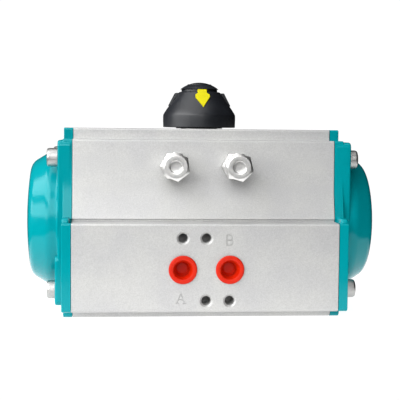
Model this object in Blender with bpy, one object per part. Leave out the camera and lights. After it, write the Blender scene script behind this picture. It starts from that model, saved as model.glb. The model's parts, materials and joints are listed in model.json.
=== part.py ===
"""A double-acting rack-and-pinion pneumatic actuator for quarter-turn valves.

The pistons slide along X, the output pinion turns about Z, and the port face looks along -Y.
The world origin is on the bottom mounting face, in the middle of the object's box; the pinion's
axis lies a few millimetres behind it, because the stop bolts stand further out than the back.
All the lengths below are in metres, written in millimetres with MM, from the pinion's axis.
"""

import math

import bmesh
import bpy
from mathutils import Matrix, Vector

MM = 0.001
GAP = 0.3 * MM  # between neighbouring pieces

# Body: extruded along X, and its outline in (y, z)
BODY_HALF_LENGTH = 68.35 * MM
BODY_HEIGHT = 99.5 * MM
BORE_RADIUS = 37.5 * MM
BORE_HEIGHT = BODY_HEIGHT / 2
RIB_HALF_WIDTH = 24.4 * MM
SHOULDER_HEIGHT = 93.7 * MM
UPPER_FACE_TOP = 36.9 * MM  # half width where the upper face meets the shoulder
UPPER_FACE_KINK = 38.0 * MM
KINK_HEIGHT = 66.0 * MM
UPPER_FACE_FOOT = 41.3 * MM
PAD_TOP = 51.5 * MM
PAD_BOTTOM = 6.05 * MM
PORT_FACE = 53.0 * MM  # distance of the port face in front of the axis
BACK_FACE = 42.5 * MM
FOOT_HALF_WIDTH = 33.4 * MM
PAD_RADIUS = 2 * MM
FOOT_RADIUS = 3 * MM
RIB_RADIUS = 1 * MM
GROOVE = 0.5 * MM  # the small groove where the upper face meets the ledge

# Ports and mounting patterns
PORT_HALF_SPACING = 12 * MM
PORT_HEIGHT = 28 * MM
PORT_RADIUS = 6.6 * MM
PORT_MOUTH_RADIUS = 7.7 * MM  # of the chamfer round each port, just wider than a plug's flange
PORT_DEPTH = 13 * MM
PORT_PASSAGE_RADIUS = 3 * MM
PORT_PASSAGE_LENGTH = 14 * MM
PLUG_FLANGE_RADIUS = 7.3 * MM
VALVE_HOLE_RISE = 16 * MM  # the valve's M5 holes above and below the ports
CHANNEL_DEPTH = 45 * MM  # the long air channel to the caps, in front of the axis
CHANNEL_HEIGHT = 38 * MM
CHANNEL_RADIUS = 2.5 * MM
M5_CORE = 2.1 * MM
M6_CORE = 2.5 * MM
M8_CORE = 3.4 * MM
F05_CIRCLE = 25 * MM
F07_CIRCLE = 35 * MM
ACCESSORY_HALF_X = 40 * MM
ACCESSORY_HALF_Y = 15 * MM

# Stop bolts, M8, one on each side of the axis
STOP_X = 16 * MM
STOP_HEIGHT = 80.2 * MM
STOP_FACE = 37.4 * MM  # the upper face at that height
STOP_HOLE_RADIUS = 4.3 * MM
STOP_HOLE_DEPTH = 20 * MM
STOP_SEAL_SEAT = (6.3 * MM, 1.5 * MM)  # the O-ring's recess: radius, depth
STOP_TIP = 14.3 * MM
STOP_HEAD_INNER = 51.4 * MM
STOP_HEAD_OUTER = 56.7 * MM
M8_RADIUS = 4 * MM
M8_ACROSS_FLATS = 13 * MM
NUT_INNER = 37.95 * MM
NUT_OUTER = 44 * MM
BOLT_HEAD_TURN = math.radians(22)

# End caps
CAP_INNER = BODY_HALF_LENGTH + GAP
CAP_BASE_OUTER = 72.85 * MM
CAP_PLATE_OUTER = 77 * MM
CAP_SIDE_RADIUS = 36.9 * MM
CAP_GROOVE_RADIUS = 35.2 * MM
CAP_CONE_ROOT = (36.0 * MM, 83.2 * MM)  # the dome's sloping side, as (radius, distance along X)
CAP_CONE_END = (32.1 * MM, 88.9 * MM)
CAP_CROWN_EDGE = (27.7 * MM, 91.8 * MM)
CAP_FLAT_RADIUS = 9 * MM
CAP_END = 93.8 * MM
CAP_HOLLOW_RADIUS = 33 * MM
CAP_PLATE_HALF_WIDTH = 37.6 * MM
CAP_PLATE_BOTTOM = 7 * MM
CAP_PLATE_TOP = 93 * MM
CAP_CORNER_RADIUS = 3 * MM
CAP_WALL = 3 * MM
BEAD_INNER = 70.4 * MM  # the bead on the ledge above the pad, at the cap's outer edge
BEAD_TOP = 53.8 * MM
AIR_SLOT_DEPTH = 2.5 * MM
SPIGOT_INNER_END = 65.4 * MM
SCREW_Y = 31.5 * MM
SCREW_HEIGHTS = (15 * MM, 84 * MM)
M6_RADIUS = 3 * MM
M6_HOLE = 3.3 * MM
M6_HOLE_DEPTH = 20 * MM
SCREW_HEAD_RADIUS = 5 * MM
SCREW_HEAD_OUTER = 82.2 * MM
SCREW_SEAT = 76.0 * MM

# Rack and pinion
TEETH = 18
MODULE = 1.5 * MM
PRESSURE_ANGLE = math.radians(20)
PITCH_RADIUS = TEETH * MODULE / 2
BACKLASH = 0.3 * MM
GEAR_BOTTOM = 35 * MM
GEAR_TOP = 65 * MM
JOURNAL_RADIUS = 16 * MM
TOP_JOURNAL_RADIUS = 10 * MM
DRIVE_ACROSS_FLATS = 17 * MM
DRIVE_DEPTH = 19 * MM
SHAFT_TOP = 119.5 * MM
REST_TURN = math.radians(3)  # the indicator stands 3 degrees past the closed stop
REST_SLIDE = PITCH_RADIUS * REST_TURN

# Cam and its pocket in the body
CAM_RADIUS = 24.5 * MM
CAM_HUB_RADIUS = 13 * MM
CAM_STOP_OFFSET = 14 * MM
CAM_BOTTOM = 76.5 * MM
CAM_TOP = 83 * MM
CAM_SEAT_ACROSS_FLATS = 20 * MM
POCKET_RADIUS = 26 * MM
POCKET_TOP = 84.5 * MM
TOP_BEARING_RADIUS = 13 * MM
BOTTOM_BEARING_RADIUS = 18.3 * MM
BEARING_FLOOR = 7.7 * MM
TOP_BEARING_SEAT = 91.7 * MM
THRUST_RING_RADIUS = 12.9 * MM
THRUST_RING_TOP = 101.2 * MM

# Pistons
HEAD_INNER = 28.5 * MM
HEAD_OUTER = 41.5 * MM
HEAD_RADIUS = 36.9 * MM
RACK_END = 26 * MM
RACK_HALF_HEIGHT = 14 * MM
RACK_BACK = 33.4 * MM
GUIDE_HALF_HEIGHT = 8 * MM

# Indicator
INDICATOR_RADIUS = 20 * MM
INDICATOR_BOTTOM = 100.3 * MM
CONE_LOW = (18.1 * MM, 110.2 * MM)
CONE_HIGH = (11.8 * MM, 119.2 * MM)
CAP_RADIUS = 10.6 * MM
CAP_BOTTOM = 121.3 * MM
INDICATOR_TOP = 125.1 * MM

# The object's box runs from the stop bolts' heads to the back face
AXIS_SHIFT = (STOP_HEAD_OUTER - BACK_FACE) / 2

# Segments: fittings of the bore, the shaft (a multiple of 16 for its star socket), other round pieces, screws
FINE = 36
SHAFT = 32
ROUND = 24
SMALL = 12


def clear_objects():
    for old in list(bpy.data.objects):
        bpy.data.objects.remove(old, do_unlink=True)


def material(name, colour, roughness, metallic):
    """A plain Principled material, made once for each name."""
    made = bpy.data.materials.get(name)
    if made is None:
        made = bpy.data.materials.new(name)
        made.use_nodes = True
        shader = made.node_tree.nodes["Principled BSDF"]
        shader.inputs["Base Color"].default_value = (*colour, 1)
        shader.inputs["Roughness"].default_value = roughness
        shader.inputs["Metallic"].default_value = metallic
    return made


def body_aluminium():
    return material("blasted_aluminium", (0.63, 0.63, 0.62), 0.5, 0.9)


def teal_paint():
    return material("teal_paint", (0.0, 0.45, 0.50), 0.3, 0.0)


def bright_steel():
    return material("bright_steel", (0.62, 0.60, 0.57), 0.3, 1.0)


def dark_steel():
    return material("dark_steel", (0.25, 0.25, 0.26), 0.4, 1.0)


def cast_aluminium():
    return material("cast_aluminium", (0.55, 0.56, 0.57), 0.45, 0.9)


def red_plastic():
    return material("red_plastic", (0.85, 0.03, 0.01), 0.35, 0.0)


def yellow_plastic():
    return material("yellow_plastic", (0.80, 0.72, 0.0), 0.4, 0.0)


def black_plastic():
    return material("black_plastic", (0.03, 0.035, 0.04), 0.4, 0.0)


def white_plastic():
    return material("bearing_plastic", (0.75, 0.73, 0.66), 0.45, 0.0)


def black_rubber():
    return material("black_rubber", (0.02, 0.02, 0.02), 0.7, 0.0)


def circle(radius):
    return lambda angle: radius


def polygon(sides, across_flats, turn=0.0):
    """A regular polygon as radius against angle, with a flat facing the angle turn."""
    step = 2 * math.pi / sides

    def radius(angle):
        off = (angle - turn + step / 2) % step - step / 2
        return across_flats / 2 / math.cos(off)

    return radius


def star(across_flats):
    """Two squares, an eighth of a turn apart."""
    flat = polygon(4, across_flats)
    tilted = polygon(4, across_flats, math.pi / 4)
    return lambda angle: max(flat(angle), tilted(angle))


def flattened(radius, half_width):
    """A circle with two flats facing +X and -X."""
    return lambda angle: min(radius, half_width / max(abs(math.cos(angle)), 1e-6))


def turned_to(form, axis):
    """Turns a form built along Z so that its +Z runs along the axis X, Y or -Y, and its +X stays sideways."""
    turns = {
        "Z": Matrix.Identity(4),
        "X": Matrix.Rotation(math.pi / 2, 4, "Y"),
        "-X": Matrix.Rotation(-math.pi / 2, 4, "Y"),
        "Y": Matrix.Rotation(-math.pi / 2, 4, "X"),
        "-Y": Matrix.Rotation(math.pi / 2, 4, "X"),
    }
    bmesh.ops.transform(form, matrix=turns[axis], verts=form.verts)


def ringed(rings, segments=ROUND, through=False, axis="Z"):
    """A solid skinned over rings of (outline, height); through joins its last ring to its first."""
    form = bmesh.new()
    loops = []
    for outline, height in rings:
        if not callable(outline):
            outline = circle(outline)
        loop = []
        for index in range(segments):
            angle = 2 * math.pi * index / segments
            reach = outline(angle)
            loop.append(form.verts.new((reach * math.cos(angle), reach * math.sin(angle), height)))
        loops.append(loop)
    followers = loops[1:] + loops[:1] if through else loops[1:]
    for low, high in zip(loops, followers):
        for index in range(segments):
            after = (index + 1) % segments
            form.faces.new((low[index], low[after], high[after], high[index]))
    if not through:
        form.faces.new(loops[0])
        form.faces.new(loops[-1])
    turned_to(form, axis)
    return form


def torus(major, minor, height=0.0, segments=ROUND, around=6, axis="Z"):
    """An O-ring, with its middle at the given height."""
    rings = []
    for index in range(around):
        angle = 2 * math.pi * index / around
        rings.append((major + minor * math.cos(angle), height + minor * math.sin(angle)))
    return ringed(rings, segments, through=True, axis=axis)


def prism(outline, start, end, along="Z"):
    """A closed outline pushed along an axis: (x, y) along Z, (y, z) along X, (x, z) along Y."""
    place = {
        "Z": lambda a, b, c: (a, b, c),
        "X": lambda a, b, c: (c, a, b),
        "Y": lambda a, b, c: (a, c, b),
    }[along]
    form = bmesh.new()
    low = [form.verts.new(place(a, b, start)) for a, b in outline]
    high = [form.verts.new(place(a, b, end)) for a, b in outline]
    form.faces.new(low)
    form.faces.new(high)
    for index in range(len(outline)):
        after = (index + 1) % len(outline)
        form.faces.new((low[index], low[after], high[after], high[index]))
    return form


def merged(forms):
    """Several separate forms in one."""
    whole = bmesh.new()
    for form in forms:
        piece = bpy.data.meshes.new("part")
        form.to_mesh(piece)
        whole.from_mesh(piece)
        bpy.data.meshes.remove(piece)
        form.free()
    return whole


def moved(form, offset):
    bmesh.ops.translate(form, vec=Vector(offset), verts=form.verts)
    return form


def arc(centre, radius, start, end, steps):
    """Points on an arc, with its angles in degrees."""
    points = []
    for index in range(steps + 1):
        angle = math.radians(start + (end - start) * index / steps)
        points.append((centre[0] + radius * math.cos(angle), centre[1] + radius * math.sin(angle)))
    return points


def add(name, form, finish, parent, location=(0, 0, 0), turn=(0, 0, 0)):
    """Makes a named object of a form, under a parent."""
    bmesh.ops.recalc_face_normals(form, faces=form.faces)
    mesh = bpy.data.meshes.new(name)
    form.to_mesh(mesh)
    form.free()
    mesh.materials.append(finish)
    mesh.shade_smooth()
    mesh.set_sharp_from_angle(angle=math.radians(35))
    made = bpy.data.objects.new(name, mesh)
    bpy.context.scene.collection.objects.link(made)
    made.parent = parent
    made.location = location
    made.rotation_euler = turn
    return made


def add_copy(name, original, parent, location=(0, 0, 0), turn=(0, 0, 0)):
    """Another object with the same mesh."""
    made = bpy.data.objects.new(name, original.data)
    bpy.context.scene.collection.objects.link(made)
    made.parent = parent
    made.location = location
    made.rotation_euler = turn
    return made


def combine(target, name, form, operation="DIFFERENCE"):
    """Cuts a form from a target, or joins it on, through a hidden tool object beside the target."""
    tool = add(name, form, target.data.materials[0], target.parent, target.location, target.rotation_euler)
    tool.hide_render = True
    tool.display_type = "WIRE"
    boolean = target.modifiers.new(name, "BOOLEAN")
    boolean.operation = operation
    boolean.object = tool
    return target


def empty(name, parent, location=(0, 0, 0), turn=0.0):
    made = bpy.data.objects.new(name, None)
    bpy.context.scene.collection.objects.link(made)
    made.parent = parent
    made.location = location
    made.rotation_euler = (0, 0, turn)
    return made


def half_outline(lower_face, sign):
    """One side of the body's outline, from the foot up; lower_face is the lower part's distance."""

    def corner(across, up, radius, start, steps=3):
        """A quarter arc inside the corner at (across, up)."""
        rise = radius if start < 0 else -radius
        return arc((across - radius, up + rise), radius, start, start + 90, steps)

    groove = UPPER_FACE_FOOT - GROOVE
    is_pad = lower_face > UPPER_FACE_FOOT + PAD_RADIUS
    pad_top = corner(lower_face, PAD_TOP, PAD_RADIUS, 0) if is_pad else [(lower_face, PAD_TOP - 1.2 * MM)]
    points = [
        *corner(FOOT_HALF_WIDTH, 0, FOOT_RADIUS, -90),
        (FOOT_HALF_WIDTH, PAD_BOTTOM),
        *corner(lower_face, PAD_BOTTOM, PAD_RADIUS, -90),
        *pad_top,
        (groove, PAD_TOP),
        (groove, PAD_TOP + GROOVE),
        (UPPER_FACE_FOOT, PAD_TOP + GROOVE),
        (UPPER_FACE_KINK, KINK_HEIGHT),
        *corner(UPPER_FACE_TOP, SHOULDER_HEIGHT, PAD_RADIUS, 0),
        (RIB_HALF_WIDTH, SHOULDER_HEIGHT),
        *corner(RIB_HALF_WIDTH, BODY_HEIGHT, RIB_RADIUS, 0, 2),
    ]
    return [(sign * across, up) for across, up in points]


def body_outline():
    front = half_outline(PORT_FACE, -1)
    back = half_outline(BACK_FACE, 1)
    return front + back[::-1]


def drilled(places, rings, axis, segments=SMALL):
    """One cutter with the same stepped round hole at every place; rings run from the face inwards."""
    return merged([moved(ringed(rings, segments, axis=axis), place) for place in places])


def on_circle(radius):
    """Four places on a bolt circle, at 45 degrees to the axes."""
    reach = radius * math.sqrt(0.5)
    return [(sx * reach, sy * reach, 0) for sx in (-1, 1) for sy in (-1, 1)]


def countersunk(core, depth, lip=1.25 * MM, beyond=1 * MM):
    """A threaded hole with a countersink, from just outside the face to its floor."""
    return [(core + lip + beyond, -beyond), (core, lip), (core, depth)]


def make_body(frame):
    extrusion = prism(body_outline(), -BODY_HALF_LENGTH, BODY_HALF_LENGTH, "X")
    body = add("body", extrusion, body_aluminium(), frame)
    over = BODY_HALF_LENGTH + 2 * MM
    bore = moved(ringed([(BORE_RADIUS, -over), (BORE_RADIUS, over)], FINE, axis="X"), (0, 0, BORE_HEIGHT))
    combine(body, "bore_cutter", bore)
    pocket = [
        (POCKET_RADIUS, 60 * MM),
        (POCKET_RADIUS, POCKET_TOP),
        (TOP_BEARING_RADIUS, POCKET_TOP),
        (TOP_BEARING_RADIUS, TOP_BEARING_SEAT),
        (TOP_JOURNAL_RADIUS + 0.6 * MM, TOP_BEARING_SEAT),
        (TOP_JOURNAL_RADIUS + 0.6 * MM, BODY_HEIGHT + 1 * MM),
    ]
    combine(body, "cam_pocket_cutter", ringed(pocket, ROUND))
    bottom = [
        (JOURNAL_RADIUS + GAP, -1 * MM),
        (JOURNAL_RADIUS + GAP, BEARING_FLOOR),
        (BOTTOM_BEARING_RADIUS, BEARING_FLOOR),
        (BOTTOM_BEARING_RADIUS, 22 * MM),
    ]
    combine(body, "bottom_bore_cutter", ringed(bottom, ROUND))
    stops = [(side * STOP_X, -STOP_FACE, STOP_HEIGHT) for side in (-1, 1)]
    seat_radius, seat_depth = STOP_SEAL_SEAT
    stop_rings = [
        (seat_radius, -4 * MM),
        (seat_radius, seat_depth),
        (STOP_HOLE_RADIUS, seat_depth),
        (STOP_HOLE_RADIUS, STOP_HOLE_DEPTH),
    ]
    combine(body, "stop_hole_cutter", drilled(stops, stop_rings, "Y"))
    ports = [(side * PORT_HALF_SPACING, -PORT_FACE, PORT_HEIGHT) for side in (-1, 1)]
    chamfer = PORT_MOUTH_RADIUS - PORT_RADIUS
    port_rings = [(PORT_MOUTH_RADIUS + chamfer, -chamfer), (PORT_RADIUS, chamfer), (PORT_RADIUS, PORT_DEPTH)]
    combine(body, "port_cutter", drilled(ports, port_rings, "Y", ROUND))
    passage = ringed([(PORT_PASSAGE_RADIUS, 0), (PORT_PASSAGE_RADIUS, PORT_PASSAGE_LENGTH)], SMALL, axis="Y")
    moved(passage, (-PORT_HALF_SPACING, -PORT_FACE + PORT_DEPTH - 1 * MM, PORT_HEIGHT))
    combine(body, "port_a_passage_cutter", passage)
    channel = ringed([(CHANNEL_RADIUS, -over), (CHANNEL_RADIUS, over)], SMALL, axis="X")
    combine(body, "air_channel_cutter", moved(channel, (0, -CHANNEL_DEPTH, CHANNEL_HEIGHT)))
    combine(body, "port_b_passage_cutter", slanted_passage())
    valve_places = []
    for side, rise in ((-1, 1), (0, 1), (0, -1), (1, -1)):
        valve_places.append((side * PORT_HALF_SPACING, -PORT_FACE, PORT_HEIGHT + rise * VALVE_HOLE_RISE))
    combine(body, "valve_hole_cutter", drilled(valve_places, countersunk(M5_CORE, 10 * MM), "Y"))
    top_places = []
    for sx in (-1, 1):
        top_places += [(sx * ACCESSORY_HALF_X, sy * ACCESSORY_HALF_Y, BODY_HEIGHT) for sy in (-1, 1)]
    lip = 0.5 * MM
    combine(body, "accessory_hole_cutter", drilled_down(top_places, countersunk(M5_CORE, 8 * MM, lip)))
    combine(body, "f05_hole_cutter", drilled(on_circle(F05_CIRCLE), countersunk(M6_CORE, 9 * MM, lip), "Z"))
    combine(body, "f07_hole_cutter", drilled(on_circle(F07_CIRCLE), countersunk(M8_CORE, 12 * MM, lip), "Z"))
    for side, word, axis in ((1, "right", "-X"), (-1, "left", "X")):
        places = [(side * BODY_HALF_LENGTH, across, height) for _, across, height in screw_places()]
        rings = [(M6_HOLE, -1 * MM), (M6_HOLE, M6_HOLE_DEPTH)]
        combine(body, f"{word}_screw_hole_cutter", drilled(places, rings, axis))
    return body


def screw_places():
    """The four cap screws' places across one end."""
    return [(0, across * SCREW_Y, height) for across in (-1, 1) for height in SCREW_HEIGHTS]


def drilled_down(places, rings):
    """Holes drilled straight down from places on the top face."""
    holes = []
    for place in places:
        hole = ringed([(radius, -depth) for radius, depth in rings], SMALL)
        holes.append(moved(hole, place))
    return merged(holes)


def slanted_passage():
    """The slanted drilling from port B's side wall up into the long air channel."""
    start = Vector((PORT_HALF_SPACING, -PORT_FACE + 3 * MM, PORT_HEIGHT + 0.7 * MM))
    end = Vector((PORT_HALF_SPACING, -CHANNEL_DEPTH + 1 * MM, CHANNEL_HEIGHT))
    run = end - start
    form = ringed([(1.8 * MM, 0), (1.8 * MM, run.length)], SMALL)
    bmesh.ops.transform(form, matrix=run.to_track_quat("Z", "Y").to_matrix().to_4x4(), verts=form.verts)
    return moved(form, start)


def dome_rings(wall=0.0):
    """The dome's sloping side, rounded edge and shallow crown, as (radius, distance along X)."""
    points = (CAP_CONE_ROOT, CAP_CONE_END, (30.3 * MM, 90.6 * MM), CAP_CROWN_EDGE)
    rings = [(radius - wall, along - wall * 0.6) for radius, along in points]
    rings.append((18 * MM - wall, CAP_END - 0.9 * MM - wall))
    rings.append((CAP_FLAT_RADIUS, CAP_END - wall))
    return rings


def rounded_rectangle(half_width, low, high, radius):
    """A rectangle in the middle, from low to high, with round corners."""
    across = half_width - radius
    bottom = low + radius
    top = high - radius
    points = []
    for index, middle in enumerate(((across, bottom), (across, top), (-across, top), (-across, bottom))):
        points += arc(middle, radius, 90 * (index - 1), 90 * index, 4)
    return points


def make_end_cap(name, frame, side):
    """The right cap, or the left one as its mirror image."""
    cap = add(name, sided(prism(body_outline(), CAP_INNER, CAP_BASE_OUTER, "X"), side), teal_paint(), frame)
    outline = rounded_rectangle(CAP_PLATE_HALF_WIDTH, CAP_PLATE_BOTTOM, CAP_PLATE_TOP, CAP_CORNER_RADIUS)
    plate = prism(outline, CAP_INNER + 1 * MM, CAP_PLATE_OUTER, "X")
    combine(cap, f"{name}_plate", sided(plate, side), "UNION")
    bead_outline = [
        (-PORT_FACE + 1 * MM, PAD_TOP - 2 * MM),
        (-CAP_PLATE_HALF_WIDTH + 1 * MM, PAD_TOP - 2 * MM),
        (-CAP_PLATE_HALF_WIDTH + 1 * MM, BEAD_TOP),
        (-PORT_FACE + 2.5 * MM, BEAD_TOP),
        (-PORT_FACE + 1 * MM, BEAD_TOP - 1.5 * MM),
    ]
    bead = prism(bead_outline, BEAD_INNER, CAP_BASE_OUTER - GAP, "X")
    combine(cap, f"{name}_bead", sided(bead, side), "UNION")
    groove_start = SPIGOT_INNER_END + 0.8 * MM
    groove_end = SPIGOT_INNER_END + 3 * MM
    outer = [
        (CAP_SIDE_RADIUS, SPIGOT_INNER_END),
        (CAP_SIDE_RADIUS, groove_start),
        (CAP_GROOVE_RADIUS, groove_start),
        (CAP_GROOVE_RADIUS, groove_end),
        (CAP_SIDE_RADIUS, groove_end),
        (CAP_SIDE_RADIUS, CAP_PLATE_OUTER - 1 * MM),
        (CAP_SIDE_RADIUS, CAP_PLATE_OUTER + 3 * MM),
        *dome_rings(),
    ]
    dome = moved(ringed(outer, FINE, axis="X"), (0, 0, BORE_HEIGHT))
    combine(cap, f"{name}_dome", sided(dome, side), "UNION")
    inner = [
        (CAP_HOLLOW_RADIUS, SPIGOT_INNER_END - 2 * MM),
        (CAP_HOLLOW_RADIUS, CAP_PLATE_OUTER + 3 * MM),
        *dome_rings(CAP_WALL),
    ]
    hollow = moved(ringed(inner, ROUND, axis="X"), (0, 0, BORE_HEIGHT))
    combine(cap, f"{name}_hollow_cutter", sided(hollow, side))
    low = CHANNEL_HEIGHT - CHANNEL_RADIUS
    high = CHANNEL_HEIGHT + CHANNEL_RADIUS
    front = -CHANNEL_DEPTH - CHANNEL_RADIUS
    back = -CAP_HOLLOW_RADIUS + 3 * MM
    slot_outline = [(front, low), (back, low), (back, high), (front, high)]
    slot = prism(slot_outline, CAP_INNER - 0.05 * MM, CAP_INNER + AIR_SLOT_DEPTH, "X")
    combine(cap, f"{name}_air_slot_cutter", sided(slot, side))
    screw_rings = [
        (M6_HOLE, CAP_INNER - 1 * MM),
        (M6_HOLE, SCREW_SEAT),
        (SCREW_HEAD_RADIUS + 0.4 * MM, SCREW_SEAT),
        (SCREW_HEAD_RADIUS + 0.4 * MM, CAP_PLATE_OUTER + 8 * MM),
    ]
    holes = merged([moved(ringed(screw_rings, SMALL, axis="X"), place) for place in screw_places()])
    combine(cap, f"{name}_screw_cutter", sided(holes, side))
    ring = torus(36.3 * MM, 0.8 * MM, (groove_start + groove_end) / 2, FINE, 4, "X")
    seal = sided(moved(ring, (0, 0, BORE_HEIGHT)), side)
    add(name.replace("end_cap", "cap_seal"), seal, black_rubber(), frame)
    return cap


def sided(form, side):
    """Mirrors a form to -X when side is -1."""
    if side < 0:
        bmesh.ops.scale(form, vec=(-1, 1, 1), verts=form.verts)
    return form


def make_cap_screws(frame):
    """Eight M6 socket-head screws, with their heads outwards along X."""
    socket = polygon(6, 5 * MM)
    under = SCREW_SEAT + GAP
    rings = [
        (M6_RADIUS - 0.5 * MM, BODY_HALF_LENGTH - 16 * MM),
        (M6_RADIUS, BODY_HALF_LENGTH - 15.5 * MM),
        (M6_RADIUS, under),
        (SCREW_HEAD_RADIUS, under),
        (SCREW_HEAD_RADIUS, SCREW_HEAD_OUTER - 0.6 * MM),
        (SCREW_HEAD_RADIUS - 0.6 * MM, SCREW_HEAD_OUTER),
        (socket, SCREW_HEAD_OUTER),
        (socket, SCREW_HEAD_OUTER - 3 * MM),
    ]
    first = None
    count = 0
    for turn in (math.pi, 0):
        for place in screw_places():
            count += 1
            name = f"cap_screw_{count}"
            if first is None:
                first = add(name, ringed(rings, SMALL, axis="X"), bright_steel(), frame, place, (0, 0, turn))
            else:
                add_copy(name, first, frame, place, (0, 0, turn))


def make_port_plugs(frame):
    rings = [
        (5.9 * MM, -8.5 * MM),
        (6.3 * MM, -7.5 * MM),
        (6.3 * MM, GAP),
        (PLUG_FLANGE_RADIUS, GAP),
        (PLUG_FLANGE_RADIUS, 0.9 * MM),
        (PLUG_FLANGE_RADIUS - 0.3 * MM, 1.2 * MM),
        (4.85 * MM, 1.2 * MM),
        (3.5 * MM, -6.5 * MM),
    ]
    left = (-PORT_HALF_SPACING, -PORT_FACE, PORT_HEIGHT)
    right = (PORT_HALF_SPACING, -PORT_FACE, PORT_HEIGHT)
    plug = add("port_plug_a", ringed(rings, ROUND, axis="-Y"), red_plastic(), frame, left)
    add_copy("port_plug_b", plug, frame, right)


def make_stops(frame):
    """The two stop bolts with their lock nuts and the O-rings under the nuts."""
    head = polygon(6, M8_ACROSS_FLATS, math.pi / 6)
    bolt_rings = [
        (2.4 * MM, STOP_TIP),
        (3.0 * MM, STOP_TIP + 0.6 * MM),
        (3.0 * MM, STOP_TIP + 3.2 * MM),
        (M8_RADIUS, STOP_TIP + 4.0 * MM),
        (M8_RADIUS, STOP_HEAD_INNER),
        (head, STOP_HEAD_INNER),
        (head, STOP_HEAD_OUTER - 0.6 * MM),
        (5.7 * MM, STOP_HEAD_OUTER),
    ]
    nut_rings = [
        (M8_RADIUS + GAP, NUT_INNER),
        (head, NUT_INNER),
        (head, NUT_OUTER - 0.6 * MM),
        (5.9 * MM, NUT_OUTER),
        (M8_RADIUS + GAP, NUT_OUTER),
    ]
    for side, word in ((-1, "left"), (1, "right")):
        place = (side * STOP_X, 0, STOP_HEIGHT)
        bolt = ringed(bolt_rings, SMALL, axis="-Y")
        add(f"stop_bolt_{word}", bolt, bright_steel(), frame, place, (0, BOLT_HEAD_TURN, 0))
        nut = ringed(nut_rings, SMALL, through=True, axis="-Y")
        add(f"stop_nut_{word}", nut, bright_steel(), frame, place)
        seal = torus(5.3 * MM, 0.7 * MM, STOP_FACE - 0.5 * MM, SMALL, axis="-Y")
        add(f"stop_seal_{word}", seal, black_rubber(), frame, place)


def involute_outline():
    """The pinion's teeth as (x, y) points, with one tooth pointing at -Y."""
    base = PITCH_RADIUS * math.cos(PRESSURE_ANGLE)
    outer = PITCH_RADIUS + MODULE
    root = PITCH_RADIUS - 1.25 * MODULE
    pitch_roll = math.tan(PRESSURE_ANGLE) - PRESSURE_ANGLE
    half_tooth = math.pi / 2 / TEETH - BACKLASH / 4 / PITCH_RADIUS + pitch_roll
    outer_roll = math.sqrt((outer / base) ** 2 - 1)
    flank = [(half_tooth, root)]
    for index in range(4):
        roll = outer_roll * index / 3
        flank.append((half_tooth - (roll - math.atan(roll)), base * math.sqrt(1 + roll * roll)))
    points = []
    for tooth in range(TEETH):
        middle = -math.pi / 2 + 2 * math.pi * tooth / TEETH
        sides = [(middle - off, reach) for off, reach in flank]
        sides += [(middle + off, reach) for off, reach in flank[::-1]]
        points += [(reach * math.cos(angle), reach * math.sin(angle)) for angle, reach in sides]
    return points


def make_pinion(axis_frame):
    """The output shaft: star drive socket, bottom journal, gear, cam seat, top journal and flats."""
    drive = star(DRIVE_ACROSS_FLATS)
    seat = polygon(8, CAM_SEAT_ACROSS_FLATS)
    flats = flattened(9 * MM, 6 * MM)
    rings = [
        (drive, 0.8 * MM + DRIVE_DEPTH),
        (drive, 0.8 * MM),
        (JOURNAL_RADIUS - 0.5 * MM, 0.8 * MM),
        (JOURNAL_RADIUS, 1.3 * MM),
        (JOURNAL_RADIUS, 2.8 * MM),
        (14.1 * MM, 2.8 * MM),
        (14.1 * MM, 5.2 * MM),
        (JOURNAL_RADIUS, 5.2 * MM),
        (JOURNAL_RADIUS, 21.5 * MM),
        (11.0 * MM, 26 * MM),
        (11.0 * MM, CAM_BOTTOM - GAP),
        (seat, CAM_BOTTOM - GAP),
        (seat, CAM_TOP),
        (TOP_JOURNAL_RADIUS, CAM_TOP),
        (TOP_JOURNAL_RADIUS, 94.2 * MM),
        (8.6 * MM, 94.2 * MM),
        (8.6 * MM, 96.6 * MM),
        (TOP_JOURNAL_RADIUS, 96.6 * MM),
        (TOP_JOURNAL_RADIUS, 102.6 * MM),
        (8.6 * MM, 102.6 * MM),
        (8.6 * MM, 103.9 * MM),
        (TOP_JOURNAL_RADIUS, 103.9 * MM),
        (TOP_JOURNAL_RADIUS, 104.6 * MM),
        (flats, 104.6 * MM),
        (flats, SHAFT_TOP),
        (M6_HOLE, SHAFT_TOP),
        (M6_HOLE, SHAFT_TOP - 14 * MM),
    ]
    pinion = add("pinion", ringed(rings, SHAFT), dark_steel(), axis_frame)
    combine(pinion, "pinion_gear", prism(involute_outline(), GEAR_BOTTOM, GEAR_TOP), "UNION")
    add("bottom_shaft_seal", torus(15.2 * MM, 0.8 * MM, 4 * MM), black_rubber(), axis_frame)
    add("top_shaft_seal", torus(9.6 * MM, 0.7 * MM, 95.4 * MM), black_rubber(), axis_frame)


def make_travel_cam(axis_frame):
    """A sector between two stop faces, on an octagonal seat. Closed, its right face meets the right bolt."""
    edge = math.degrees(math.asin(CAM_STOP_OFFSET / CAM_RADIUS))
    outline = [
        *arc((0, 0), CAM_RADIUS, -edge, 90 + edge, 16),
        (-CAM_STOP_OFFSET, 8.5 * MM),
        *arc((0, 0), CAM_HUB_RADIUS, 150, 300, 10),
        (8.5 * MM, -CAM_STOP_OFFSET),
    ]
    cam = add("travel_cam", prism(outline, CAM_BOTTOM, CAM_TOP), cast_aluminium(), axis_frame)
    hole = polygon(8, CAM_SEAT_ACROSS_FLATS + 2 * GAP)
    cutter = ringed([(hole, CAM_BOTTOM - 1 * MM), (hole, CAM_TOP + 1 * MM)], SHAFT)
    combine(cam, "cam_seat_cutter", cutter)


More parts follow.
